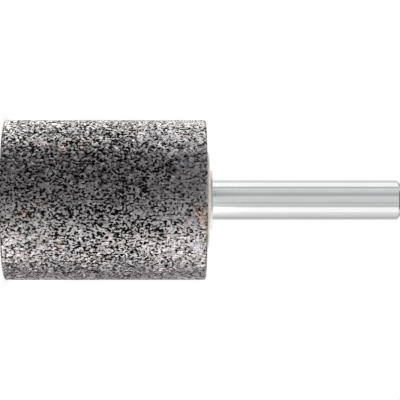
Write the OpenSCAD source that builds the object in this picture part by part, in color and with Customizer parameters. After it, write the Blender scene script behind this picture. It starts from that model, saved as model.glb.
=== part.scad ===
// A mounted point: a cylindrical abrasive head cemented onto a round steel shank.
// The axis is Z. The head stands on its flat nose at z = 0 and the shank points up.

/* [Head] */
// Diameter of the abrasive head
head_d = 32; // [26:1:50]
// Length of the abrasive head along the axis
head_len = 40; // [28:1:60]
// Rounding of the head's two arrises
arris_r = 0.3; // [0.1:0.1:2]
// Solid abrasive between the bore's floor and the nose
nose_wall = 10; // [5:0.5:16]

/* [Shank] */
// Diameter of the shank, which a collet grips
shank_d = 8; // [6:0.5:10]
// Length of shank that stands out of the head
shank_out = 39; // [20:1:60]
// Chamfer on the free end of the shank
tip_chamfer = 0.6; // [0.3:0.1:1.5]
// Step by which the buried tail is turned down below the shank, on the radius
tail_step = 0.3; // [0.2:0.05:0.6]
// Chamfer on the buried end of the tail
tail_chamfer = 0.8; // [0.3:0.1:1.2]

/* [Knurl] */
// Plain length of tail between the head's face and the knurl
knurl_setback = 4; // [1:0.5:8]
// Spacing of the knurl's grooves round the tail
knurl_pitch = 0.85; // [0.8:0.05:1.2]
// Depth of the knurl's grooves
knurl_depth = 0.3; // [0.15:0.05:0.35]
// Width of the locking groove turned round the tail
lock_w = 2.4; // [1.8:0.1:4]
// Depth of the locking groove
lock_depth = 0.6; // [0.4:0.05:0.8]
// Distance from the buried end to the locking groove
lock_up = 5; // [2:0.5:8]

/* [Cement] */
// Gap between the tail and the bore's wall, which the cement fills
cement_gap = 0.8; // [0.3:0.1:1.5]
// Cement under the buried end
cement_bed = 1; // [0.4:0.1:2]
// Radial width of the raised ring of cement round the shank
ring_w = 2; // [1.2:0.1:2.6]
// Height of the ring above the head's face
ring_h = 1.35; // [1.1:0.05:2]
// Rounding of the ring's top edge
ring_edge = 0.4; // [0.1:0.05:0.6]
// Radial width of the skirt of cement outside the ring
skirt_w = 3.8; // [1.5:0.1:5]
// Height of the skirt, which also rounds off its rim
skirt_h = 0.7; // [0.3:0.05:0.9]
// How far the shank's shoulder lies below the top of the ring
shoulder_cover = 0.1; // [0.05:0.05:0.3]

/* [Hidden] */
$fn = 96;
// Overlap with which a cut runs past the surface that it opens
past = 1;
head_r = head_d / 2;
shank_r = shank_d / 2;
tail_r = shank_r - tail_step;
bore_r = tail_r + cement_gap;
ring_r = shank_r + ring_w;
skirt_r = ring_r + skirt_w;
tail_z = nose_wall + cement_bed;
lock_z = tail_z + lock_up;
knurl_z = head_len - knurl_setback;
shoulder_z = head_len + ring_h - shoulder_cover;
tip_z = head_len + shank_out;
// Whole grooves that go round the tail at about the stated spacing
knurl_n = round(2 * PI * tail_r / knurl_pitch);

head_colour = [0.30, 0.30, 0.31];
steel_colour = [0.76, 0.77, 0.78];
cement_colour = [0.87, 0.85, 0.79];

// Half section of the head, with its arrises rounded and its bore open to the shank side
module head_section() {
    difference() {
        union() {
            square([head_r - arris_r, head_len]);
            translate([0, arris_r])
                square([head_r, head_len - 2 * arris_r]);
            for (z = [arris_r, head_len - arris_r])
                translate([head_r - arris_r, z])
                    circle(r = arris_r);
        }
        translate([0, nose_wall])
            square([bore_r, head_len - nose_wall + past]);
    }
}

// Half section of the turned shank: buried tail, locking groove, shoulder and chamfered tip
module shank_section() {
    polygon([
        [0, tail_z],
        [tail_r - tail_chamfer, tail_z],
        [tail_r, tail_z + tail_chamfer],
        [tail_r, lock_z],
        [tail_r - lock_depth, lock_z + lock_depth],
        [tail_r - lock_depth, lock_z + lock_w - lock_depth],
        [tail_r, lock_z + lock_w],
        [tail_r, shoulder_z],
        [shank_r, shoulder_z],
        [shank_r, tip_z - tip_chamfer],
        [shank_r - tip_chamfer, tip_z],
        [0, tip_z]
    ]);
}

// One right-angled knurl groove, along the tail from its buried end to the setback
module knurl_groove() {
    translate([tail_r, 0, tail_z - past])
        linear_extrude(height = knurl_z - tail_z + past)
            polygon([[-knurl_depth, 0], [past, past + knurl_depth], [past, -past - knurl_depth]]);
}

// The shank as turned and knurled
module shank_body() {
    difference() {
        rotate_extrude()
            shank_section();
        for (i = [0 : knurl_n - 1])
            rotate([0, 0, i * 360 / knurl_n])
                knurl_groove();
    }
}

// Half section of the cement before the shank is taken out of it: bore fill, skirt and ring
module cement_section() {
    translate([0, nose_wall])
        square([bore_r, head_len - nose_wall + skirt_h / 2]);
    translate([0, head_len]) {
        square([skirt_r - skirt_h, skirt_h]);
        intersection() {
            translate([skirt_r - skirt_h, 0])
                circle(r = skirt_h);
            square([skirt_r + past, skirt_h + past]);
        }
        square([ring_r, ring_h - ring_edge]);
        square([ring_r - ring_edge, ring_h]);
        translate([ring_r - ring_edge, ring_h - ring_edge])
            circle(r = ring_edge);
    }
}

// Coarse bonded grit, pressed as one cylinder with a blind bore
module abrasive_head() {
    color(head_colour)
        rotate_extrude()
            head_section();
}

// Ground steel spindle
module shank() {
    color(steel_colour)
        shank_body();
}

// Cement that keys the tail into the bore and stands out as a collar
module cement() {
    color(cement_colour)
        difference() {
            rotate_extrude()
                cement_section();
            shank_body();
        }
}

abrasive_head();
shank();
cement();
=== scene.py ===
"""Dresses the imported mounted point: a pitted grit head, a ground steel shank and a cement collar.

The three pieces stand in a white studio, and the photograph's camera looks at them from the side.
"""

import logging
import math
from dataclasses import dataclass
from enum import Enum
from typing import Any, Dict, List, NamedTuple, Optional, Sequence, Tuple, Union

import bpy
import numpy as np
from mathutils import Matrix, Vector


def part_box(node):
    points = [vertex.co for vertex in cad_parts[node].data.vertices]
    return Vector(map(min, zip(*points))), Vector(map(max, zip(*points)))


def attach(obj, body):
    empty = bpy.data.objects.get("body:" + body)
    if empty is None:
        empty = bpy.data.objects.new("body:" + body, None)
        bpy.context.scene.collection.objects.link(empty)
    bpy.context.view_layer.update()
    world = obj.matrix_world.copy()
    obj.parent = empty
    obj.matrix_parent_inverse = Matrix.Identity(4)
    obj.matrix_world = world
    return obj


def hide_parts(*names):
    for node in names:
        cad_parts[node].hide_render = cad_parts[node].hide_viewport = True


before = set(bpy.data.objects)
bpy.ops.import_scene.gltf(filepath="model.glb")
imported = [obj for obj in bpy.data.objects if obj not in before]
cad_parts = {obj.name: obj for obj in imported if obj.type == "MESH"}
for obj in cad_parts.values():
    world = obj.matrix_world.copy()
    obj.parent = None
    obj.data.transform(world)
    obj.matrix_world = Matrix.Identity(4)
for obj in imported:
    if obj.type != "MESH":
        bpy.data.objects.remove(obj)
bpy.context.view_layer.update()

LOG = logging.getLogger("mounted_point")
BODY = "root"
MM = 0.001
PER_MM = 1000.0
# Distance within which two places count as one
TOUCH = 0.01 * MM
# Middle of what runs from 0 to 1, such as a noise, a random draw or a ramp
MIDDLE = 0.5
# Share of a spot's reach within which it has its full effect
SPOT_CORE = 0.3
# Height of an even triangle with sides of 1
ROW_HEIGHT = math.sqrt(0.75)
# Fewest points in a ring of a turned mesh
LEAST_POINTS = 6
# How far every other ring is turned, in steps of that ring
STAGGER = 0.5
REST = "rest_place"
REST_NORMAL = "rest_normal"
GRIT_WEIGHT = "grit_weight"
POUR_WEIGHT = "pour_weight"
# Rays that show the white background
SEEN_BY = ("Is Camera Ray", "Is Glossy Ray", "Is Transmission Ray")

Colour = Tuple[float, float, float, float]
Spot = Tuple[float, float, float, float]
Triple = Tuple[float, float, float]
Span = Tuple[float, float]
Face = Tuple[int, ...]
Settings = Dict[str, Any]

WHITE: Colour = (1.0, 1.0, 1.0, 1.0)


class Slot(Enum):
    """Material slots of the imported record."""

    GRIT = "grit"
    STEEL = "steel"
    CEMENT = "cement"


class Node(Enum):
    """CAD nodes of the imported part."""

    HEAD = "abrasive_head"
    SHANK = "shank"
    CEMENT = "cement"


@dataclass(frozen=True)
class Value:
    """One output socket of a node tree, with arithmetic that adds the nodes it needs."""

    graph: "Graph"
    socket: bpy.types.NodeSocket

    def _math(self, operation: str, first: "Feed", second: "Feed") -> "Value":
        """Adds a Math node on two operands."""
        return self.graph.value("ShaderNodeMath", {"operation": operation}, {0: first, 1: second})

    def _vector(self, operation: str, other: "Feed", output: int = 0) -> "Value":
        """Adds a Vector Math node on this vector and another."""
        settings = {"operation": operation}
        return self.graph.value("ShaderNodeVectorMath", settings, {0: self, 1: other}, output)

    def __add__(self, other: "Feed") -> "Value":
        """The sum of both."""
        return self._math("ADD", self, other)

    def __radd__(self, other: "Feed") -> "Value":
        """The sum of both."""
        return self._math("ADD", other, self)

    def __sub__(self, other: "Feed") -> "Value":
        """This less the other."""
        return self._math("SUBTRACT", self, other)

    def __rsub__(self, other: "Feed") -> "Value":
        """The other less this."""
        return self._math("SUBTRACT", other, self)

    def __mul__(self, other: "Feed") -> "Value":
        """The product of both."""
        return self._math("MULTIPLY", self, other)

    def __rmul__(self, other: "Feed") -> "Value":
        """The product of both."""
        return self._math("MULTIPLY", other, self)

    def __truediv__(self, other: "Feed") -> "Value":
        """This over the other."""
        return self._math("DIVIDE", self, other)

    def most(self, other: "Feed") -> "Value":
        """The larger of both."""
        return self._math("MAXIMUM", self, other)

    def rise(self, low: "Feed", high: "Feed") -> "Value":
        """A smooth step.

        Args:
            low: Where the step leaves 0.
            high: Where the step reaches 1.

        Returns:
            A value from 0 to 1.
        """
        settings = {"interpolation_type": "SMOOTHSTEP"}
        return self.graph.value("ShaderNodeMapRange", settings, {0: self, 1: low, 2: high, 3: 0.0, 4: 1.0})

    def scaled(self, factor: "Feed") -> "Value":
        """This vector times a number."""
        return self.graph.value("ShaderNodeVectorMath", {"operation": "SCALE"}, {0: self, 3: factor})

    def plus(self, other: "Feed") -> "Value":
        """This vector plus another."""
        return self._vector("ADD", other)

    def times(self, other: "Feed") -> "Value":
        """This vector times another, axis by axis."""
        return self._vector("MULTIPLY", other)

    def dot(self, other: "Feed") -> "Value":
        """The dot product of two vectors."""
        return self._vector("DOT_PRODUCT", other, 1)

    def length(self) -> "Value":
        """The length of this vector."""
        return self.graph.value("ShaderNodeVectorMath", {"operation": "LENGTH"}, {0: self}, 1)

    def axes(self) -> Tuple["Value", "Value", "Value"]:
        """Splits this vector.

        Returns:
            Its three axes.
        """
        split = self.graph.node("ShaderNodeSeparateXYZ", inputs={0: self})
        x, y, z = (Value(self.graph, out) for out in split.outputs)
        return x, y, z


Feed = Union[Value, float, Sequence[float]]
Inputs = Dict[Union[int, str], Feed]


class Graph:
    """A node tree, with one way to make any node and feed its sockets."""

    def __init__(self, tree: bpy.types.NodeTree) -> None:
        """Takes the tree that the nodes go into."""
        self.tree = tree

    def node(
        self, kind: str, settings: Optional[Settings] = None, inputs: Optional[Inputs] = None
    ) -> bpy.types.Node:
        """Makes a node.

        Args:
            kind: The node's type.
            settings: The node's attributes, set before its sockets; stops are a ramp's places and colours.
            inputs: What each socket, by index or name, holds or is linked to.

        Returns:
            The new node.
        """
        made = self.tree.nodes.new(kind)
        for name, setting in (settings or {}).items():
            if name == "stops":
                self._set_stops(made.color_ramp, setting)
            else:
                setattr(made, name, setting)
        for key, feed in (inputs or {}).items():
            self.feed(made.inputs[key], feed)
        return made

    def value(
        self,
        kind: str,
        settings: Optional[Settings] = None,
        inputs: Optional[Inputs] = None,
        output: Union[int, str] = 0,
    ) -> Value:
        """Makes a node as node() does, and returns one of its outputs."""
        return Value(self, self.node(kind, settings, inputs).outputs[output])

    def feed(self, socket: bpy.types.NodeSocket, feed: Feed) -> None:
        """Fills a socket.

        Args:
            socket: A node's input.
            feed: A value to link to it, or a plain number or colour to set on it.
        """
        if isinstance(feed, Value):
            self.tree.links.new(feed.socket, socket)
        else:
            socket.default_value = feed

    def mix(self, share: Feed, first: Feed, second: Feed) -> Value:
        """Mixes two colours.

        Args:
            share: How much of the second colour shows.
            first: Colour at share 0.
            second: Colour at share 1.

        Returns:
            The mixed colour.
        """
        return self.value("ShaderNodeMix", {"data_type": "RGBA"}, {0: share, 6: first, 7: second}, 2)

    def tinted(self, share: Feed, body: Feed, tint: Feed) -> Value:
        """Multiplies a colour by a tint.

        Args:
            share: How much of the tint shows.
            body: Colour that is tinted.
            tint: Factor on each channel.

        Returns:
            The tinted colour.
        """
        settings = {"data_type": "RGBA", "blend_type": "MULTIPLY"}
        return self.value("ShaderNodeMix", settings, {0: share, 6: body, 7: tint}, 2)

    def noise(self, place: Value, per_mm: float, detail: float = 2.0, rough: float = 0.5) -> Value:
        """Soft noise.

        Args:
            place: Where the noise is read, in millimetres.
            per_mm: Lumps for each millimetre.
            detail: Octaves of finer lumps.
            rough: Strength of each finer octave.

        Returns:
            Noise from 0 to 1.
        """
        inputs = {"Vector": place, "Scale": per_mm, "Detail": detail, "Roughness": rough}
        return self.value("ShaderNodeTexNoise", {}, inputs)

    def attribute(self, label: str) -> Value:
        """A vector that the mesh holds at each point, for a material."""
        return self.value("ShaderNodeAttribute", {"attribute_name": label}, output="Vector")

    def bump(self, height: Value, face: Optional[Value] = None) -> Value:
        """Turns a relief into a normal.

        Args:
            height: Height of the relief in millimetres.
            face: Normal of the smooth surface; the mesh's own if it is left out.

        Returns:
            The normal of the relief.
        """
        inputs: Inputs = {"Strength": 1.0, "Distance": MM, "Height": height}
        if face is not None:
            inputs["Normal"] = face
        return self.value("ShaderNodeBump", {}, inputs)

    def principled(self, inputs: Inputs) -> Value:
        """The shader of a plain surface."""
        return self.value("ShaderNodeBsdfPrincipled", {}, inputs)

    def glow(self, colour: Colour, strength: float = 1.0) -> Value:
        """The shader of a surface that shines by itself."""
        return self.value("ShaderNodeEmission", {}, {"Color": colour, "Strength": strength})

    def seen(self) -> Value:
        """Tells apart the rays that show the background.

        Returns:
            1 for the camera's rays and for mirrored and transmitted ones, and 0 for the rest.
        """
        path = self.node("ShaderNodeLightPath")
        camera, mirrored, through = (Value(self, path.outputs[name]) for name in SEEN_BY)
        return camera.most(mirrored).most(through)

    @staticmethod
    def _set_stops(ramp: bpy.types.ColorRamp, stops: Sequence[Tuple[float, Colour]]) -> None:
        """Sets a ramp's stops.

        Args:
            ramp: The ramp of a node.
            stops: Position and colour of each stop.
        """
        while len(ramp.elements) < len(stops):
            ramp.elements.new(MIDDLE)
        for element, (position, colour) in zip(ramp.elements, stops):
            element.position = position
            element.color = colour


class Finish:
    """Start of every finish: a material with one surface shader."""

    name: str = "finish"

    def material(self) -> bpy.types.Material:
        """Makes the material.

        Returns:
            A material whose nodes this finish has written.
        """
        made = bpy.data.materials.new(self.name)
        made.use_nodes = True
        made.node_tree.nodes.clear()
        graph = Graph(made.node_tree)
        graph.node("ShaderNodeOutputMaterial", inputs={"Surface": self.surface(graph)})
        return made

    def surface(self, graph: Graph) -> Value:
        """The shader of the surface, which each finish writes."""
        raise NotImplementedError

    @staticmethod
    def object_place(graph: Graph) -> Value:
        """Object coordinates in millimetres."""
        return graph.value("ShaderNodeTexCoord", output="Object").scaled(PER_MM)


def near_any(place: Value, spots: Sequence[Spot]) -> Value:
    """How near a place is to any of some spots.

    Args:
        place: The place, in millimetres.
        spots: Centre and reach of each spot, in millimetres.

    Returns:
        1 in the middle of a spot, falling to 0 out of reach of all.
    """
    shares = []
    for x, y, z, reach in spots:
        shares.append(place.plus((-x, -y, -z)).length().rise(reach, SPOT_CORE * reach))
    share = shares[0]
    for other in shares[1:]:
        share = share.most(other)
    return share


class GritFields(NamedTuple):
    """What the grit's rule gives at a place on the head.

    Attributes:
        pore: 1 within a pore, and 0 on a grain.
        hollow: How deep a pore is, from 0 to 1.
        tilt: Rise of a grain's leaning face.
        shade: Random draw of the grain, for its grey.
        kind: Random draw of the grain, for brown, rusty and steep ones.
        tint: Random draw of the grain, for its gloss.
        fine: Finest roughness, from 0 to 1.
        stain: Noise of the stained patches, from 0 to 1.
        shank_end: 1 at the shank's end of the head, falling to 0.
        nose_end: 1 at the nose, falling to 0.
    """

    pore: Value
    hollow: Value
    tilt: Value
    shade: Value
    kind: Value
    tint: Value
    fine: Value
    stain: Value
    shank_end: Value
    nose_end: Value


@dataclass(frozen=True)
class GritRule:
    """How grains and pores lie in the head, for its relief and its finish. Lengths are in millimetres.

    Attributes:
        seed: Where the random patterns are read.
        grain: Size of a grain.
        lie: Squeeze of the patterns along the axis, by which the grains lie lengthwise.
        octave: Strength of each finer octave of the finer noises.
        gap_noise: Lumps for each millimetre of the noise that opens pores.
        gap_start: Level of that noise from which pores open.
        gap_growth: How fast a pore widens above that level.
        gap_edge: Half the width of a pore's edge.
        hollow_edge: Width over which a pore falls to its full depth.
        bond: How much the middle of a grain withstands a pore.
        patch: Size of the patches with more or fewer pores.
        patch_shift: How much the patches shift the level.
        nose_depth: How far the zone at the nose reaches along the head.
        nose_shift: How much that zone raises the level.
        end_depth: How far the zone at the shank's end reaches along the head.
        end_shift: How much that zone raises the level.
        open_spots: Places with more pores.
        open_shifts: How much each of those places lowers the level.
        fine: Size of the finest roughness.
        stain: Size of the stained patches.
        end_lean: How much grains lean along the axis, against 1 across it.
        steep: Random draws between which a grain becomes a steep one.
        steeper: How much more than the others a steep grain leans.
    """

    seed: Triple = (83.0, 166.0, 249.0)
    grain: float = 0.50
    lie: float = 0.75
    octave: float = 0.6
    gap_noise: float = 2.3
    gap_start: float = 0.493
    gap_growth: float = 2.0
    gap_edge: float = 0.022
    hollow_edge: float = 0.10
    bond: float = 0.55
    patch: float = 3.2
    patch_shift: float = 0.12
    nose_depth: float = 7.0
    nose_shift: float = 0.012
    end_depth: float = 15.0
    end_shift: float = 0.046
    open_spots: Tuple[Spot, ...] = ((6.0, -14.8, 21.0, 12.0), (-13.3, -8.9, 17.0, 10.0))
    open_shifts: Tuple[float, ...] = (0.006, 0.018)
    fine: float = 0.17
    stain: float = 2.6
    end_lean: float = 0.3
    steep: Span = (0.88, 0.92)
    steeper: float = 4.0

    def fields(self, graph: Graph, rest: Value, head_length: float) -> GritFields:
        """Writes the rule into a node tree.

        Args:
            graph: A material's or a geometry tree.
            rest: Place on the smooth head, in metres.
            head_length: Length of the head in millimetres.

        Returns:
            The fields at that place.
        """
        place = rest.scaled(PER_MM)
        along = place.axes()[2]
        drawn = place.times((1.0, 1.0, self.lie)).plus(self.seed)
        cells = {"Vector": drawn, "Scale": 1.0 / self.grain}
        cell = graph.node("ShaderNodeTexVoronoi", {"feature": "F1"}, cells)
        draw = Value(graph, cell.outputs["Color"])
        centre = Value(graph, cell.outputs["Position"])
        to_edge = graph.value("ShaderNodeTexVoronoi", {"feature": "DISTANCE_TO_EDGE"}, cells)
        nose_end = along.rise(self.nose_depth, 0.0)
        shank_end = along.rise(head_length - self.end_depth, head_length)
        patches = graph.noise(drawn, 1.0 / self.patch, detail=1.0)
        start = self.gap_start + (MIDDLE - patches) * self.patch_shift
        start = start + nose_end * self.nose_shift + shank_end * self.end_shift
        for spot, shift in zip(self.open_spots, self.open_shifts):
            start = start - near_any(place, [spot]) * shift
        half_gap = (graph.noise(drawn, self.gap_noise, rough=self.octave) - start) * self.gap_growth
        depth = half_gap - to_edge * (self.grain * self.bond)
        shade, kind, tint = draw.axes()
        slope = draw.plus((-MIDDLE, -MIDDLE, -MIDDLE)).times((1.0, 1.0, self.end_lean))
        lean = slope.dot(drawn.plus(centre.scaled(-1.0)))
        return GritFields(
            pore=depth.rise(-self.gap_edge, self.gap_edge),
            hollow=depth.rise(0.0, self.hollow_edge),
            tilt=lean * (1.0 + self.steeper * kind.rise(*self.steep)),
            shade=shade,
            kind=kind,
            tint=tint,
            fine=graph.noise(drawn, 1.0 / self.fine, rough=self.octave),
            stain=graph.noise(drawn, 1.0 / self.stain),
            shank_end=shank_end,
            nose_end=nose_end,
        )


@dataclass(frozen=True)
class GritFinish(Finish):
    """Dark bonded grit: glossy grey grains with matt and brown ones among them, and black pores.

    The pores' black is painted shade, and the paler arrises are a painted highlight.

    A pair of numbers is where a change begins and where it is complete, on a field of the grit's rule. The
    arrises follow the square of the normal's part along the axis instead.
    """

    rule: GritRule
    head_length: float
    name: str = "dark_grit"
    dark_grain: Colour = (0.072, 0.068, 0.0702, 1.0)
    pale_grain: Colour = (0.285, 0.2677, 0.278, 1.0)
    least_shade: float = 0.35
    fine_shade: float = 1.1
    matt_grain: Colour = (0.26, 0.246, 0.2545, 1.0)
    matt: Span = (0.91, 0.93)
    matt_metal: float = 0.1
    gloss_metal: float = 0.8
    cool_tint: Colour = (0.93, 1.0, 1.07, 1.0)
    cool: Span = (0.47, 0.35)
    cool_share: float = 0.5
    brown_tint: Colour = (1.04, 0.82, 0.70, 1.0)
    brown_patch: Span = (0.57, 0.69)
    patch_share: float = 0.18
    brown_grain: Span = (0.036, 0.03)
    grain_share: float = 0.5
    rust_tint: Colour = (1.40, 1.0, 0.82, 1.0)
    least_rust: float = 0.4
    rust_spots: Tuple[Spot, ...] = (
        (2.8, -15.8, 39.2, 2.4),
        (8.6, -13.5, 11.6, 0.9),
        (-10.0, -12.5, 12.2, 1.0),
        (2.6, -15.8, 5.0, 1.4),
    )
    # Paler grains on both arrises: a painted highlight on the rounded edges.
    arris_highlight_colour: Colour = (0.42, 0.40, 0.40, 1.0)
    arris_highlight_share: float = 0.55
    side_to_arris: Span = (0.01, 0.15)
    end_to_arris: Span = (0.98, 0.85)
    # Pore walls and pores are painted near-black: painted shade in the hollows.
    wall_shade_colour: Colour = (0.026, 0.0245, 0.025, 1.0)
    pore_shade_colour: Colour = (0.004, 0.004, 0.004, 1.0)
    # Near these spots, on one side of the head, less shade is painted into the pores.
    paler_pore_share: float = 0.4
    paler_pore_spots: Tuple[Spot, ...] = (
        (11.0, -11.6, 3.0, 13.0),
        (15.5, -4.0, 12.0, 9.0),
        (15.5, -4.0, 24.0, 9.0),
        (15.5, -4.0, 36.0, 9.0),
    )
    base_rough: float = 0.26
    tint_rough: float = 0.12
    shade_rough: float = 0.11
    pore_rough: float = 0.45
    end_smoother: float = 0.18
    nose_smoother: float = 0.14
    lean_height: float = 0.17
    fine_height: float = 0.02
    cut_share: float = 0.1
    pore_cut: float = 0.45

    def surface(self, graph: Graph) -> Value:
        """Writes grains, pores and their relief.

        Args:
            graph: The material's tree.

        Returns:
            The shader.
        """
        rest = graph.attribute(REST)
        flat = graph.attribute(REST_NORMAL)
        grit = self.rule.fields(graph, rest, self.head_length * PER_MM)
        place = rest.scaled(PER_MM)
        shade = grit.shade * (self.least_shade + self.fine_shade * grit.fine)
        matt = grit.tint.rise(*self.matt)
        grains = graph.mix(shade, self.dark_grain, self.pale_grain)
        grains = self.stained(graph.mix(matt, grains, self.matt_grain), grit, place)
        gloss = self.gloss_metal + matt * (self.matt_metal - self.gloss_metal)
        smooth = grit.shank_end * self.end_smoother + grit.nose_end * self.nose_smoother
        rough = self.base_rough + grit.tint * self.tint_rough + shade * self.shade_rough
        inputs = {
            "Base Color": self.pitted(grains, grit, place, flat),
            "Metallic": gloss.most(grit.pore),
            "Roughness": rough * (1.0 - smooth) + grit.pore * self.pore_rough,
            "Normal": self.normal(grit, flat),
        }
        return graph.principled(inputs)

    def stained(self, grains: Value, grit: GritFields, place: Value) -> Value:
        """Tints some of the grains.

        Args:
            grains: Colour of the clean grains.
            grit: Fields of the grit's rule.
            place: Place on the smooth head, in millimetres.

        Returns:
            The colour with cool and brown patches, brown grains and rusty spots.
        """
        graph = grains.graph
        cool = grit.stain.rise(*self.cool) * self.cool_share
        brown = grit.stain.rise(*self.brown_patch) * self.patch_share
        brown = brown.most(grit.kind.rise(*self.brown_grain) * self.grain_share)
        rust = near_any(place, self.rust_spots) * (self.least_rust + (1.0 - self.least_rust) * grit.kind)
        grains = graph.tinted(cool, grains, self.cool_tint)
        grains = graph.tinted(brown, grains, self.brown_tint)
        return graph.tinted(rust, grains, self.rust_tint)

    def pitted(self, grains: Value, grit: GritFields, place: Value, flat: Value) -> Value:
        """Paints a highlight on the arrises and shade in the pores, less shade near a few spots on one
        side.

        Args:
            grains: Colour of the grains.
            grit: Fields of the grit's rule.
            place: Place on the smooth head, in millimetres.
            flat: Normal of the smooth head.

        Returns:
            The colour of the whole surface.
        """
        graph = grains.graph
        # The arrises are painted paler: a painted highlight on the rounded edges.
        upright = flat.axes()[2]
        upright = upright * upright
        arris = upright.rise(*self.side_to_arris) * upright.rise(*self.end_to_arris)
        grains = graph.mix(arris * self.arris_highlight_share, grains, self.arris_highlight_colour)
        # Painted shade: the pore walls and pores are darkened, less so near the listed spots.
        pore_shade_kept = 1.0 - near_any(place, self.paler_pore_spots) * self.paler_pore_share
        shaded_walls = graph.mix(grit.pore * pore_shade_kept, grains, self.wall_shade_colour)
        return graph.mix(grit.hollow * pore_shade_kept, shaded_walls, self.pore_shade_colour)

    def normal(self, grit: GritFields, flat: Value) -> Value:
        """Leans each grain its own way on the smooth head, and follows the mesh more in the pores.

        Args:
            grit: Fields of the grit's rule.
            flat: Normal of the smooth head.

        Returns:
            The normal.
        """
        graph = flat.graph
        share = self.cut_share + grit.pore * (self.pore_cut - self.cut_share)
        cut = graph.value("ShaderNodeNewGeometry", output="Normal")
        face = flat.scaled(1.0 - share).plus(cut.scaled(share))
        return graph.bump(grit.tilt * self.lean_height + grit.fine * self.fine_height, face)


@dataclass(frozen=True)
class GroundSteel(Finish):
    """Bright steel with fine grinding rings round its axis.

    Rings and smears are given as lumps for each millimetre along X, Y and Z.
    """

    name: str = "ground_steel"
    colour: Colour = (0.60, 0.605, 0.61, 1.0)
    dull_colour: Colour = (0.54, 0.545, 0.55, 1.0)
    rings: Triple = (0.35, 0.35, 9.0)
    smears: Triple = (0.5, 0.5, 0.12)
    ring_height: float = 0.0004
    base_rough: float = 0.06
    ring_rough: float = 0.04

    def surface(self, graph: Graph) -> Value:
        """Writes steel with rings that run round Z.

        Args:
            graph: The material's tree.

        Returns:
            The shader.
        """
        place = self.object_place(graph)
        rings = graph.noise(place.times(self.rings), 1.0, detail=3.0, rough=0.6)
        smears = graph.noise(place.times(self.smears), 1.0)
        inputs = {
            "Base Color": graph.mix(smears, self.dull_colour, self.colour),
            "Metallic": 1.0,
            "Roughness": self.base_rough + rings * self.ring_rough,
            "Normal": graph.bump(rings * self.ring_height),
        }
        return graph.principled(inputs)


@dataclass(frozen=True)
class PouredCement(Finish):
    """Matt cement with a faint mottle and a fine grain: a cream skirt, and a ring with grey painted shade.

    The ring's upper part and top are painted grey as shade, only in a strip across X, where the ring faces
    away from the lamps; elsewhere the ring keeps its unshaded colour.

    Attributes:
        face: Height of the head's face in metres.
        height: Height of the collar above that face in metres.
        bands: Colours from the head's face, at 0, to the ring's top, at 1; its grey is painted shade.
        band_wave: How much the mottle moves the bands.
        ring: Levels between which the ring begins.
        unshaded: Colour of the ring outside the painted shade.
        shade_minus: Where the painted shade ends towards -X, in millimetres.
        shade_plus: Where the painted shade ends towards +X, in millimetres.
        shade_wave: How much the mottle moves those ends, in millimetres.
    """

    face: float
    height: float
    name: str = "cream_cement"
    mottle_per_mm: float = 0.7
    grain_per_mm: float = 5.0
    # The grey stops at the top are painted shade on the ring.
    bands: Tuple[Tuple[float, Colour], ...] = (
        (0.0, (0.66, 0.62, 0.555, 1.0)),
        (0.30, (0.64, 0.60, 0.53, 1.0)),
        (0.44, (0.94, 0.92, 0.88, 1.0)),
        (0.60, (0.94, 0.92, 0.88, 1.0)),
        (0.66, (0.44, 0.44, 0.43, 1.0)),
        (0.95, (0.46, 0.46, 0.455, 1.0)),
    )
    band_wave: float = 0.12
    ring: Span = (0.3, 0.6)
    unshaded: Colour = (0.78, 0.77, 0.74, 1.0)
    # Ends of the strip across X where the ring is painted grey as shade.
    shade_minus: Span = (-3.4, -4.4)
    shade_plus: Span = (1.0, 2.6)
    shade_wave: float = 3.0
    stain_tint: Colour = (0.84, 0.82, 0.79, 1.0)
    stain: Span = (0.62, 0.38)
    stain_mottle: float = 0.6
    base_rough: float = 0.72
    grain_rough: float = 0.2
    grain_height: float = 0.05

    def surface(self, graph: Graph) -> Value:
        """Writes cement that is mottled at two sizes.

        Args:
            graph: The material's tree.

        Returns:
            The shader.
        """
        place = self.object_place(graph)
        x, _, z = place.axes()
        mottle = graph.noise(place, self.mottle_per_mm, detail=3.0, rough=0.55)
        grain = graph.noise(place, self.grain_per_mm, detail=3.0, rough=0.6)
        level = (z - self.face * PER_MM) / (self.height * PER_MM) + (mottle - MIDDLE) * self.band_wave
        body = graph.value("ShaderNodeValToRGB", {"stops": self.bands}, {"Fac": level})
        # The ring's grey is painted shade; it stays only in a strip across X, where the ring faces away
        # from the lamps.
        across = x + (mottle - MIDDLE) * self.shade_wave
        unshaded = across.rise(*self.shade_plus).most(across.rise(*self.shade_minus))
        body = graph.mix(unshaded * level.rise(*self.ring), body, self.unshaded)
        stain = (mottle * self.stain_mottle + grain * (1.0 - self.stain_mottle)).rise(*self.stain)
        inputs = {
            "Base Color": graph.tinted(stain, body, self.stain_tint),
            "Roughness": self.base_rough + grain * self.grain_rough,
            "Normal": graph.bump(grain * self.grain_height),
        }
        return graph.principled(inputs)


@dataclass(frozen=True)
class FloorWhite(Finish):
    """Pale studio floor that the camera sees as white, with the object's shadow on it.

    Near and far are distances in millimetres, between which it fades to plain white.
    """

    name: str = "studio_floor"
    colour: Colour = (0.88, 0.88, 0.88, 1.0)
    close_glow: float = 0.5
    near: float = 120.0
    far: float = 320.0

    def surface(self, graph: Graph) -> Value:
        """Writes a lit floor that fades to plain white away from the object, for the rays that show it.

        Args:
            graph: The material's tree.

        Returns:
            The shader.
        """
        away = self.object_place(graph).length().rise(self.near, self.far)
        lit = graph.value("ShaderNodeBsdfDiffuse", {}, {"Color": self.colour})
        close = graph.value("ShaderNodeAddShader", {}, {0: lit, 1: graph.glow(WHITE, self.close_glow)})
        shown = graph.value("ShaderNodeMixShader", {}, {0: away, 1: close, 2: graph.glow(WHITE)})
        return graph.value("ShaderNodeMixShader", {}, {0: graph.seen(), 1: lit, 2: shown})


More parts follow.
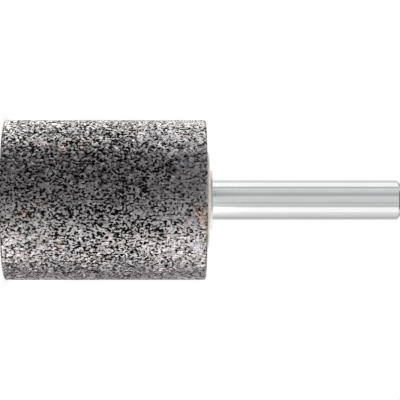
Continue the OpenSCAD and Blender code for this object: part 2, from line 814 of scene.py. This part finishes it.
@dataclass(frozen=True)
class CardGrey(Finish):
    """A plain grey that shines by itself; 1 is the white of the studio."""

    grey: float
    name: str = "grey_card"

    def surface(self, graph: Graph) -> Value:
        """One even grey."""
        return graph.glow((self.grey, self.grey, self.grey, 1.0))


class Ring(NamedTuple):
    """One ring of points of a turned mesh.

    Attributes:
        radius: Radius of the ring; 0 is a pole.
        height: Height of the ring.
        count: Points in the ring.
        limit: Largest radius at each point, where grooves cut into the ring.
    """

    radius: float
    height: float
    count: int
    limit: Optional[np.ndarray] = None


class TurnedMesh:
    """A closed mesh turned round Z, made of rings from one pole to the other. Lengths are in metres."""

    def __init__(self, name: str) -> None:
        """Takes the mesh's name."""
        self.name = name
        self.rings: List[Ring] = []

    def ring(self, radius: float, height: float, count: int) -> None:
        """Adds one ring; a radius of 0 is a pole."""
        self.rings.append(Ring(radius, height, 1 if radius <= 0.0 else count))

    def run(self, start: Span, end: Span, step: float, count: Optional[int] = None) -> None:
        """Adds rings along a straight stretch of the half section, without its first point.

        Args:
            start: Radius and height where the stretch starts.
            end: Radius and height where it ends.
            step: Distance between points.
            count: Points in each ring; worked out from step if it is left out.
        """
        rows = max(1, round(math.dist(start, end) / (step * ROW_HEIGHT)))
        for row in range(1, rows + 1):
            share = row / rows
            radius = start[0] + (end[0] - start[0]) * share
            height = start[1] + (end[1] - start[1]) * share
            self.ring(radius, height, count or self.points_round(radius, step))

    def arc(self, centre: Span, radius: float, first: float, last: float, rows: int, count: int) -> None:
        """Adds rings along an arc of the half section, without its first point.

        Args:
            centre: Radius and height of the arc's centre.
            radius: Radius of the arc itself.
            first: Angle at which the arc starts, in degrees.
            last: Angle at which it ends, in degrees.
            rows: Rings along the arc.
            count: Points in each ring.
        """
        for row in range(1, rows + 1):
            angle = math.radians(first + (last - first) * row / rows)
            self.ring(centre[0] + radius * math.cos(angle), centre[1] + radius * math.sin(angle), count)

    @staticmethod
    def points_round(radius: float, step: float) -> int:
        """Points that go round a ring at about one step apart."""
        return max(LEAST_POINTS, round(math.tau * radius / step))

    def mesh(self) -> bpy.types.Mesh:
        """Joins the rings.

        Returns:
            A closed, smooth mesh whose faces point outwards.
        """
        points: List[np.ndarray] = []
        starts: List[int] = []
        phases: List[float] = []
        total = 0
        for index, ring in enumerate(self.rings):
            plain = ring.count > 1 and ring.limit is None
            phase = STAGGER * (index % 2) if plain else 0.0
            angle = (np.arange(ring.count) + phase) * math.tau / ring.count
            radius = ring.radius if ring.limit is None else np.minimum(ring.radius, ring.limit)
            x, y = radius * np.cos(angle), radius * np.sin(angle)
            points.append(np.column_stack([x, y, np.full(ring.count, ring.height)]))
            starts.append(total)
            phases.append(phase)
            total += ring.count
        faces: List[Face] = []
        for index in range(len(self.rings) - 1):
            faces += self._strip(index, starts, phases)
        mesh = bpy.data.meshes.new(self.name)
        mesh.from_pydata(np.concatenate(points).tolist(), [], faces)
        mesh.shade_smooth()
        mesh.update()
        return mesh

    def _strip(self, index: int, starts: Sequence[int], phases: Sequence[float]) -> List[Face]:
        """Joins a ring to the next one.

        Args:
            index: Which ring.
            starts: Number of the first point of each ring.
            phases: How far each ring's first point is turned, in steps of that ring.

        Returns:
            The triangles between both rings.
        """
        n, m = self.rings[index].count, self.rings[index + 1].count
        a, b = starts[index], starts[index + 1]
        if n == 1:
            return [(a, b + (j + 1) % m, b + j) for j in range(m)]
        if m == 1:
            return [(a + i, a + (i + 1) % n, b) for i in range(n)]
        faces = []
        i = j = 0
        while i < n or j < m:
            next_a = (i + 1 + phases[index]) / n
            next_b = (j + 1 + phases[index + 1]) / m
            if j >= m or (i < n and next_a <= next_b):
                faces.append((a + i % n, a + (i + 1) % n, b + j % m))
                i += 1
            else:
                faces.append((a + i % n, b + (j + 1) % m, b + j % m))
                j += 1
        return faces


def link(made: bpy.types.Object) -> bpy.types.Object:
    """Links an object to the scene and returns it."""
    bpy.context.scene.collection.objects.link(made)
    return made


class Relief:
    """A geometry tree that moves a mesh's points along their normals and dresses it."""

    def __init__(self, name: str, sizes: Dict[str, float]) -> None:
        """Starts the tree.

        Args:
            name: The tree's name.
            sizes: The tree's named inputs with their values.
        """
        self.tree = bpy.data.node_groups.new(name, "GeometryNodeTree")
        face = self.tree.interface
        face.new_socket("Geometry", in_out="INPUT", socket_type="NodeSocketGeometry")
        for label in sizes:
            face.new_socket(label, in_out="INPUT", socket_type="NodeSocketFloat")
        face.new_socket("Geometry", in_out="OUTPUT", socket_type="NodeSocketGeometry")
        self.sizes = sizes
        self.graph = Graph(self.tree)
        self.entry = self.graph.node("NodeGroupInput")

    def size(self, label: str) -> Value:
        """One of the tree's named inputs."""
        return Value(self.graph, self.entry.outputs[label])

    def rest(self) -> Value:
        """Where each point lies before it moves."""
        return self.graph.value("GeometryNodeInputPosition")

    def weight(self, label: str) -> Value:
        """A number that the mesh holds at each point."""
        return self.graph.value("GeometryNodeInputNamedAttribute", {"data_type": "FLOAT"}, {"Name": label})

    def _kept(self, geometry: Value, label: str, vector: Value) -> Value:
        """Stores a vector at each point, for the finish to read.

        Args:
            geometry: The mesh so far.
            label: Name of the stored attribute.
            vector: What is stored.

        Returns:
            The mesh with the attribute.
        """
        settings = {"data_type": "FLOAT_VECTOR", "domain": "POINT"}
        inputs = {"Geometry": geometry, "Name": label, "Value": vector}
        return self.graph.value("GeometryNodeStoreNamedAttribute", settings, inputs)

    def close(self, rise: Value, material: bpy.types.Material) -> None:
        """Ends the tree: keeps the rest place and normal, moves the points, and sets the material.

        Args:
            rise: How far each point moves outwards, in metres.
            material: The finish of the whole mesh.
        """
        graph = self.graph
        normal = graph.value("GeometryNodeInputNormal")
        kept = self._kept(self.size("Geometry"), REST, self.rest())
        kept = self._kept(kept, REST_NORMAL, normal)
        offset = normal.scaled(rise)
        moved = graph.value("GeometryNodeSetPosition", {}, {"Geometry": kept, "Offset": offset})
        real = graph.value("GeometryNodeRealizeInstances", {}, {"Geometry": moved})
        dressed = graph.value("GeometryNodeSetMaterial", {}, {"Geometry": real, "Material": material})
        graph.node("NodeGroupOutput", inputs={"Geometry": dressed})

    def apply(self, mesh: bpy.types.Mesh) -> bpy.types.Object:
        """Runs the tree on a mesh.

        Args:
            mesh: The smooth mesh.

        Returns:
            A linked object that holds the moved mesh, with no modifier.
        """
        made = link(bpy.data.objects.new(mesh.name, mesh))
        modifier = made.modifiers.new(self.tree.name, "NODES")
        modifier.node_group = self.tree
        for item in self.tree.interface.items_tree:
            if item.in_out == "INPUT" and item.name in self.sizes:
                modifier[item.identifier] = self.sizes[item.name]
        graph = bpy.context.evaluated_depsgraph_get()
        result = bpy.data.meshes.new_from_object(made.evaluated_get(graph), depsgraph=graph)
        made.modifiers.remove(modifier)
        made.data = result
        result.name = mesh.name
        bpy.data.meshes.remove(mesh)
        return made


def set_weights(mesh: bpy.types.Mesh, label: str, weights: np.ndarray) -> None:
    """Writes a number at each point of a mesh under a label."""
    held = mesh.attributes.new(label, "FLOAT", "POINT")
    held.data.foreach_set("value", weights.astype(np.float32))


def points_of(mesh: bpy.types.Mesh) -> Tuple[np.ndarray, np.ndarray]:
    """Measures a mesh's points.

    Args:
        mesh: A mesh that is turned round Z.

    Returns:
        The distance of each point from Z, and its height.
    """
    flat = np.zeros(len(mesh.vertices) * 3, np.float32)
    mesh.vertices.foreach_get("co", flat)
    x, y, z = flat.reshape(-1, 3).T
    return np.hypot(x, y), z


def seat(piece: bpy.types.Object, node: Node) -> bpy.types.Object:
    """Puts a finished piece in place of its CAD node and reports it.

    Args:
        piece: The dressed piece.
        node: The CAD node that it stands for.

    Returns:
        The piece.
    """
    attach(piece, BODY)
    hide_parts(node.value)
    piece.data.calc_loop_triangles()
    LOG.info("%s: %d triangles", piece.name, len(piece.data.loop_triangles))
    return piece


@dataclass
class AbrasiveHead:
    """The grit cylinder, dressed to size: pores sink below its smooth outline. Sizes are in metres.

    Attributes:
        radius: Radius of the head.
        length: Length of the head along the axis.
        arris: Rounding of the two arrises.
        arris_rows: Rings along each rounding.
        arris_guard: Width of the narrow row beside each rounding, which keeps the side's shading straight.
        bore_radius: Radius of the blind bore.
        bore_floor: Height of the bore's floor.
        bore_step: Distance between the rings of the bore.
        bore_count: Points in each ring of the bore.
        covered_radius: Radius of the end face within which the collar covers the grit.
        cover_blend: Width over which the pores set in beyond that radius.
        step: Distance between points on the side.
        nose_step: Distance between points on the nose.
        coarse_step: Distance between points that nobody sees.
        pore_depth: Depth of the deepest pores.
        rule: How grains and pores lie.
    """

    radius: float
    length: float
    arris: float = 0.3 * MM
    arris_rows: int = 3
    arris_guard: float = 0.03 * MM
    bore_radius: float = 4.5 * MM
    bore_floor: float = 10.0 * MM
    bore_step: float = 3.6 * MM
    bore_count: int = 48
    covered_radius: float = 9.3 * MM
    cover_blend: float = 0.4 * MM
    step: float = 0.254 * MM
    nose_step: float = 0.30 * MM
    coarse_step: float = 1.2 * MM
    pore_depth: float = 0.24 * MM
    rule: GritRule = GritRule()

    @classmethod
    def from_frame(cls) -> "AbrasiveHead":
        """Takes the outer sizes from the CAD node."""
        low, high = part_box(Node.HEAD.value)
        return cls(radius=min(high.x, -low.x, high.y, -low.y), length=high.z - low.z)

    def outline(self) -> bpy.types.Mesh:
        """Turns the smooth head, with fine rings outside and coarse ones under the collar and in the bore.

        Returns:
            The mesh.
        """
        flat_r = self.radius - self.arris
        top = self.length
        bore, floor = self.bore_radius, self.bore_floor
        foot, rim = self.arris + self.arris_guard, top - self.arris - self.arris_guard
        count = TurnedMesh.points_round(self.radius, self.step)
        turned = TurnedMesh("grit_head")
        turned.ring(0.0, 0.0, 1)
        turned.run((0.0, 0.0), (flat_r, 0.0), self.nose_step)
        turned.arc((flat_r, self.arris), self.arris, -90.0, 0.0, self.arris_rows, count)
        turned.ring(self.radius, foot, count)
        turned.run((self.radius, foot), (self.radius, rim), self.step, count)
        turned.ring(self.radius, top - self.arris, count)
        turned.arc((flat_r, top - self.arris), self.arris, 0.0, 90.0, self.arris_rows, count)
        turned.run((flat_r, top), (self.covered_radius, top), self.step)
        turned.run((self.covered_radius, top), (bore, top), self.coarse_step)
        turned.run((bore, top), (bore, floor), self.bore_step, self.bore_count)
        turned.run((bore, floor), (0.0, floor), self.coarse_step)
        return turned.mesh()

    def weights(self, mesh: bpy.types.Mesh) -> np.ndarray:
        """Weighs where the grit lies bare.

        Args:
            mesh: The smooth head.

        Returns:
            1 where it is bare, falling to 0 under the collar and in the bore.
        """
        across, height = points_of(mesh)
        bare = np.clip((across - self.covered_radius) / self.cover_blend, 0.0, 1.0)
        under_face = height < self.length - self.arris
        in_bore = under_face & (across <= self.bore_radius + TOUCH) & (height > self.arris)
        return np.where(under_face & ~in_bore, 1.0, bare)

    def build(self) -> bpy.types.Object:
        """Makes the head, pits it by the grit's rule and dresses it.

        Returns:
            The finished piece.
        """
        mesh = self.outline()
        set_weights(mesh, GRIT_WEIGHT, self.weights(mesh))
        relief = Relief("grit_relief", {"Pore depth": self.pore_depth})
        grit = self.rule.fields(relief.graph, relief.rest(), self.length * PER_MM)
        sink = grit.hollow * relief.size("Pore depth") * relief.weight(GRIT_WEIGHT)
        relief.close(sink * -1.0, GritFinish(self.rule, self.length).material())
        return seat(relief.apply(mesh), Node.HEAD)


@dataclass
class KnurledTail:
    """The buried end of the shank, with the straight knurl and the locking groove that the cement grips.

    Sizes are in metres.
    """

    end: float
    radius: float = 3.7 * MM
    shoulder: float = 41.25 * MM
    chamfer: float = 0.8 * MM
    knurl_top: float = 36.0 * MM
    knurl_grooves: int = 27
    knurl_depth: float = 0.3 * MM
    lock_foot: float = 16.0 * MM
    lock_width: float = 2.4 * MM
    lock_depth: float = 0.6 * MM
    points_per_groove: int = 8

    @property
    def count(self) -> int:
        """Points round each ring of the tail."""
        return self.knurl_grooves * self.points_per_groove

    def grooves(self) -> np.ndarray:
        """Cuts right-angled grooves that run along the tail.

        Returns:
            The largest radius at each point round the tail.
        """
        pitch = math.tau * self.radius / self.knurl_grooves
        share = (np.arange(self.count) % self.points_per_groove) / self.points_per_groove
        from_groove = np.minimum(share, 1.0 - share) * pitch
        return self.radius - np.clip(self.knurl_depth - from_groove, 0.0, None)

    def rings(self) -> List[Ring]:
        """Lists the tail's rings.

        Returns:
            The rings from the buried end up to the shoulder.
        """
        neck = self.radius - self.lock_depth
        foot, head = self.lock_foot, self.lock_foot + self.lock_width
        grooves = self.grooves()
        knurled = [
            (self.radius - self.chamfer, self.end),
            (self.radius, self.end + self.chamfer),
            (self.radius, foot),
            (neck, foot + self.lock_depth),
            (neck, head - self.lock_depth),
            (self.radius, head),
            (self.radius, self.knurl_top),
        ]
        plain = [(self.radius, self.knurl_top + TOUCH), (self.radius, self.shoulder)]
        rings = [Ring(radius, height, self.count, grooves) for radius, height in knurled]
        return rings + [Ring(radius, height, self.count) for radius, height in plain]


@dataclass
class Shank:
    """The turned and ground steel spindle. Sizes are in metres.

    Attributes:
        radius: Radius of the free part.
        tip: Height of the free end.
        tail: The buried end.
        tip_chamfer: Chamfer on the free end.
        edge: Size of the roundings at the edges.
        lead: How far from the edges the side's own rings begin, for an edge of 1.
        ease: How far the lower rounding runs up the chamfer, for an edge of 1.
        tip_ease: How far the upper rounding lies below the chamfer's corner, for an edge of 1.
        sharp_angle: Angle in degrees from which an edge is sharp.
    """

    radius: float
    tip: float
    tail: KnurledTail
    tip_chamfer: float = 0.6 * MM
    edge: float = 0.08 * MM
    lead: float = 1.5
    ease: float = 0.3
    tip_ease: float = 0.2
    sharp_angle: float = 25.0

    @classmethod
    def from_frame(cls) -> "Shank":
        """Takes the outer sizes from the CAD node."""
        low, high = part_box(Node.SHANK.value)
        return cls(radius=(high.x - low.x) / 2.0, tip=high.z, tail=KnurledTail(low.z))

    def outline(self) -> bpy.types.Mesh:
        """Turns the half section from the buried end to the tip.

        Returns:
            The mesh.
        """
        edge = self.edge
        shoulder = self.tail.shoulder
        chamfer_foot = self.tip - self.tip_chamfer
        face = self.radius - self.tip_chamfer
        run_up = self.ease * edge
        section = [
            (self.radius - edge, shoulder),
            (self.radius, shoulder + edge),
            (self.radius, shoulder + self.lead * edge),
            (self.radius, chamfer_foot - self.lead * edge),
            (self.radius, chamfer_foot - edge),
            (self.radius - run_up, chamfer_foot + run_up),
            (self.radius - edge - run_up, chamfer_foot + edge + run_up),
            (face + edge, self.tip - edge),
            (face, self.tip - self.tip_ease * edge),
            (face - edge, self.tip),
            (face / 2.0, self.tip),
        ]
        turned = TurnedMesh("ground_shank")
        turned.ring(0.0, self.tail.end, 1)
        turned.rings += self.tail.rings()
        for radius, height in section:
            turned.ring(radius, height, self.tail.count)
        turned.ring(0.0, self.tip, 1)
        return turned.mesh()

    def build(self) -> bpy.types.Object:
        """Makes the shank and dresses it.

        Returns:
            The finished piece.
        """
        mesh = self.outline()
        mesh.materials.append(GroundSteel().material())
        mesh.set_sharp_from_angle(angle=math.radians(self.sharp_angle))
        return seat(link(bpy.data.objects.new(mesh.name, mesh)), Node.SHANK)


@dataclass
class CementCollar:
    """The cement: a sleeve in the bore and a hand-laid stepped collar on the head's face.

    Sizes are in metres.
    """

    face: float
    skirt_radius: float
    bed: float
    top: float
    tail: KnurledTail
    ring_radius: float = 6.0 * MM
    ring_edge: float = 0.4 * MM
    ring_rows: int = 4
    skirt_height: float = 0.7 * MM
    skirt_rows: int = 5
    shank_radius: float = 4.0 * MM
    shank_blend: float = 0.4 * MM
    bore_radius: float = 4.5 * MM
    bore_count: int = 96
    face_blend: float = 0.25 * MM
    step: float = 0.22 * MM
    hidden_step: float = 0.88 * MM
    wave: float = 0.06 * MM
    waves_per_mm: float = 0.28
    lump: float = 0.04 * MM
    lumps_per_mm: float = 1.3

    @classmethod
    def from_frame(cls) -> "CementCollar":
        """Takes the outer sizes from the CAD nodes.

        Returns:
            The collar.
        """
        low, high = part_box(Node.CEMENT.value)
        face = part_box(Node.HEAD.value)[1].z
        tail = KnurledTail(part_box(Node.SHANK.value)[0].z)
        return cls(face=face, skirt_radius=(high.x - low.x) / 2.0, bed=low.z, top=high.z, tail=tail)

    def outline(self) -> bpy.types.Mesh:
        """Turns the half section: bore fill, face, skirt and ring, and back down the tail's own seat.

        Returns:
            The mesh.
        """
        face, top = self.face, self.top
        skirt = self.skirt_height
        shelf = face + skirt
        inside = self.ring_radius - self.ring_edge
        count = TurnedMesh.points_round(self.skirt_radius, self.step)
        turned = TurnedMesh("cement_collar")
        turned.ring(0.0, self.bed, 1)
        turned.ring(self.bore_radius, self.bed, self.bore_count)
        turned.ring(self.bore_radius, face, self.bore_count)
        turned.run((self.bore_radius, face), (self.skirt_radius, face), self.hidden_step)
        turned.arc((self.skirt_radius - skirt, face), skirt, 0.0, 90.0, self.skirt_rows, count)
        turned.run((self.skirt_radius - skirt, shelf), (self.ring_radius + self.step, shelf), self.step)
        turned.ring(self.ring_radius, shelf, count)
        turned.ring(self.ring_radius, top - self.ring_edge, count)
        turned.arc((inside, top - self.ring_edge), self.ring_edge, 0.0, 90.0, self.ring_rows, count)
        turned.run((inside, top), (self.shank_radius, top), self.step)
        turned.ring(self.shank_radius, self.tail.shoulder, self.tail.count)
        turned.rings += reversed(self.tail.rings())
        turned.ring(0.0, self.tail.end, 1)
        return turned.mesh()

    def weights(self, mesh: bpy.types.Mesh) -> np.ndarray:
        """Weighs where the collar is bare.

        Args:
            mesh: The smooth cement.

        Returns:
            1 on the bare collar, falling to 0 at the head's face and at the shank.
        """
        across, height = points_of(mesh)
        proud = np.clip((height - self.face) / self.face_blend, 0.0, 1.0)
        return proud * np.clip((across - self.shank_radius) / self.shank_blend, 0.0, 1.0)

    def build(self) -> bpy.types.Object:
        """Makes the cement, works waves and lumps into its bare collar and dresses it.

        Returns:
            The finished piece.
        """
        mesh = self.outline()
        set_weights(mesh, POUR_WEIGHT, self.weights(mesh))
        relief = Relief("cement_relief", {"Wave": self.wave, "Lump": self.lump})
        place = relief.rest().scaled(PER_MM)
        wave = relief.graph.noise(place, self.waves_per_mm, detail=1.0) - 1.0
        lump = relief.graph.noise(place, self.lumps_per_mm) - 1.0
        sink = wave * relief.size("Wave") + lump * relief.size("Lump")
        finish = PouredCement(self.face, self.top - self.face)
        relief.close(sink * relief.weight(POUR_WEIGHT), finish.material())
        return seat(relief.apply(mesh), Node.CEMENT)


@dataclass(frozen=True)
class Panel:
    """A soft light panel that stands upright round the object. Lengths are in metres.

    Attributes:
        name: Name of the light.
        bearing: Where it stands, in degrees; 0 is the camera's side.
        spread: How wide the object sees it, in degrees.
        radiance: How bright its face is.
        foot: Height of its lower edge.
        top: Height of its upper edge.
        distance: How far from the object's axis it stands.
        tint: Colour of its light.
    """

    name: str
    bearing: float
    spread: float
    radiance: float
    foot: float
    top: float
    distance: float = 0.6
    tint: Triple = (1.0, 0.995, 0.95)

    def build(self) -> bpy.types.Object:
        """Makes the panel's light, facing the object.

        Returns:
            The light.
        """
        width = 2.0 * self.distance * math.tan(math.radians(self.spread) / 2.0)
        light = bpy.data.lights.new(self.name, "AREA")
        light.shape = "RECTANGLE"
        light.size = width
        light.size_y = self.top - self.foot
        light.color = self.tint
        light.energy = self.radiance * math.pi * width * light.size_y
        made = bpy.data.objects.new(self.name, light)
        angle = math.radians(self.bearing)
        outwards = Vector((math.sin(angle), -math.cos(angle), 0.0))
        made.location = outwards * self.distance + Vector((0.0, 0.0, (self.foot + self.top) / 2.0))
        made.rotation_euler = (-outwards).to_track_quat("-Z", "Y").to_euler()
        made.visible_camera = False
        return link(made)


@dataclass(frozen=True)
class Card:
    """A grey card that bends round the object and shows only in reflections. Lengths are in metres.

    Attributes:
        name: Name of the card.
        first: Bearing at which it starts, in degrees; 0 is the camera's side.
        last: Bearing at which it ends, in degrees.
        grey: How bright its face is.
        foot: Height of its lower edge.
        top: Height of its upper edge.
        distance: How far from the object's axis it stands.
        pane: Width of each of its flat panes, in degrees.
    """

    name: str
    first: float
    last: float
    grey: float
    foot: float = -0.4
    top: float = 0.5
    distance: float = 0.8
    pane: float = 4.0

    def build(self) -> bpy.types.Object:
        """Makes the card as a strip of panes.

        Returns:
            The card.
        """
        panes = max(1, round(abs(self.last - self.first) / self.pane))
        points = []
        for i in range(panes + 1):
            angle = math.radians(self.first + (self.last - self.first) * i / panes)
            x, y = self.distance * math.sin(angle), -self.distance * math.cos(angle)
            points += [(x, y, self.foot), (x, y, self.top)]
        faces = [(2 * i, 2 * i + 2, 2 * i + 3, 2 * i + 1) for i in range(panes)]
        return self.put_up(self.name, points, faces, self.grey)

    @staticmethod
    def put_up(
        name: str, points: Sequence[Triple], faces: Sequence[Face], grey: float
    ) -> bpy.types.Object:
        """Puts a card on the stage so that only reflections show it.

        Args:
            name: Name of the card.
            points: Its points.
            faces: Its panes.
            grey: How bright its face is.

        Returns:
            The card.
        """
        mesh = bpy.data.meshes.new(name)
        mesh.from_pydata(points, [], faces)
        mesh.materials.append(CardGrey(grey).material())
        made = link(bpy.data.objects.new(name, mesh))
        made.visible_camera = False
        made.visible_diffuse = False
        made.visible_transmission = False
        made.visible_shadow = False
        return made


@dataclass
class Studio:
    """White floor, soft panels, grey cards and the photograph's camera. Lengths are in metres."""

    camera_distance: float = 0.351
    camera_height: float = 29.3 * MM
    aim_height: float = 38.9 * MM
    focal_share: float = 4.375
    clip: Span = (0.01, 20.0)
    floor_radius: float = 3.0
    floor_sides: int = 64
    sky_light: float = 0.75
    above_half: float = 0.3
    above_height: float = 0.8
    above_grey: float = 0.3

    def floor(self) -> bpy.types.Object:
        """Lays a wide round floor at the head's nose.

        Returns:
            The floor.
        """
        ring = [math.tau * i / self.floor_sides for i in range(self.floor_sides)]
        points = [(self.floor_radius * math.cos(a), self.floor_radius * math.sin(a), 0.0) for a in ring]
        mesh = bpy.data.meshes.new("floor")
        mesh.from_pydata(points, [], [list(range(self.floor_sides))])
        mesh.materials.append(FloorWhite().material())
        made = link(bpy.data.objects.new("floor", mesh))
        made.visible_glossy = False
        made.visible_shadow = False
        return made

    def world(self) -> bpy.types.World:
        """Fills the studio with white for the rays that show it, and with a plain soft light for the rest.

        Returns:
            The world.
        """
        made = bpy.data.worlds.new("studio_air")
        made.use_nodes = True
        made.node_tree.nodes.clear()
        graph = Graph(made.node_tree)
        strength = self.sky_light + graph.seen() * (1.0 - self.sky_light)
        back = graph.value("ShaderNodeBackground", {}, {"Color": WHITE, "Strength": strength})
        graph.node("ShaderNodeOutputWorld", inputs={"Surface": back})
        bpy.context.scene.world = made
        return made

    def lights(self) -> List[bpy.types.Object]:
        """Sets up the panels: low ones that light the head, and high ones that the shank mirrors.

        Returns:
            The lights.
        """
        panels = [
            Panel("far_low", -117.5, 70.0, 9.1, -0.30, 0.056, 2.4, (0.99, 1.003, 0.953)),
            Panel("far_foot", -119.5, 66.0, 0.4, -0.34, -0.06),
            Panel("far_high", -102.5, 35.0, 0.55, 0.052, 0.42),
            Panel("near_low", 66.0, 70.0, 13.2, -0.25, 0.056, 2.4),
            Panel("near_foot", 67.0, 70.0, 0.4, -0.34, -0.06),
            Panel("near_soft", 16.0, 30.0, 2.6, -0.07, 0.045),
            Panel("near_high", 60.0, 32.0, 0.57, 0.052, 0.42),
            Panel("near_fade", 86.0, 20.0, 0.16, 0.052, 0.42),
            Panel("back_low", 136.0, 62.0, 0.47, -0.34, 0.052, tint=(1.0, 0.80, 0.90)),
        ]
        return [panel.build() for panel in panels]

    def cards(self) -> List[bpy.types.Object]:
        """Puts up cards between the panels, which draw the thin lines along the shank, and one overhead.

        Returns:
            The cards.
        """
        cards = [
            Card("card_edge", -81.0, -73.0, 0.72),
            Card("card_gleam", -66.5, -60.0, 1.16),
            Card("card_wide", -44.0, -22.0, 0.76),
            Card("card_pale", -15.0, -5.0, 1.06),
            Card("card_line", -33.0, -28.0, 0.62, distance=0.78),
            Card("card_middle", 11.0, 23.0, 0.80),
            Card("card_near", 30.0, 37.0, 0.80),
            Card("card_back", 114.0, 152.0, 0.77, foot=0.06),
            Card("card_rear", 148.0, 212.0, 0.6, foot=0.3, top=1.0),
            Card("card_low", -58.0, -16.0, 0.48, foot=-0.03, top=0.064, distance=0.76),
            Card("card_foot", -66.0, 12.0, 0.30, top=-0.03, distance=0.76),
        ]
        return [card.build() for card in cards] + [self.overhead()]

    def overhead(self) -> bpy.types.Object:
        """Hangs a small grey card straight above, which the chamfer at the shank's tip mirrors.

        Returns:
            The card.
        """
        half = self.above_half
        corners = [(-half, -half), (half, -half), (half, half), (-half, half)]
        points = [(x, y, self.above_height) for x, y in corners]
        return Card.put_up("card_above", points, [(0, 1, 2, 3)], self.above_grey)

    def camera(self) -> bpy.types.Object:
        """Sets up the photograph's camera, level with the head and with the axis across the picture.

        Returns:
            The camera.
        """
        lens = bpy.data.cameras.new("photo_camera")
        lens.sensor_fit = "HORIZONTAL"
        lens.lens = lens.sensor_width * self.focal_share
        lens.clip_start, lens.clip_end = self.clip
        made = bpy.data.objects.new("photo_camera", lens)
        place = Vector((0.0, -self.camera_distance, self.camera_height))
        ahead = (Vector((0.0, 0.0, self.aim_height)) - place).normalized()
        up = Vector((-1.0, 0.0, 0.0))
        right = ahead.cross(up)
        turn = Matrix((right, up, -ahead)).transposed()
        made.matrix_world = Matrix.Translation(place) @ turn.to_4x4()
        bpy.context.scene.camera = link(made)
        return made

    def build(self) -> None:
        """Sets the whole stage and the plain view transform."""
        self.floor()
        self.world()
        for light in self.lights():
            LOG.info("%s: %.1f W", light.name, light.data.energy)
        self.cards()
        self.camera()
        bpy.context.scene.view_settings.view_transform = "Standard"


def main() -> None:
    """Builds the studio and the three pieces, and reports each."""
    logging.basicConfig(level=logging.INFO, format="%(name)s %(message)s")
    Studio().build()
    AbrasiveHead.from_frame().build()
    Shank.from_frame().build()
    CementCollar.from_frame().build()


if __name__ == "__main__":
    main()
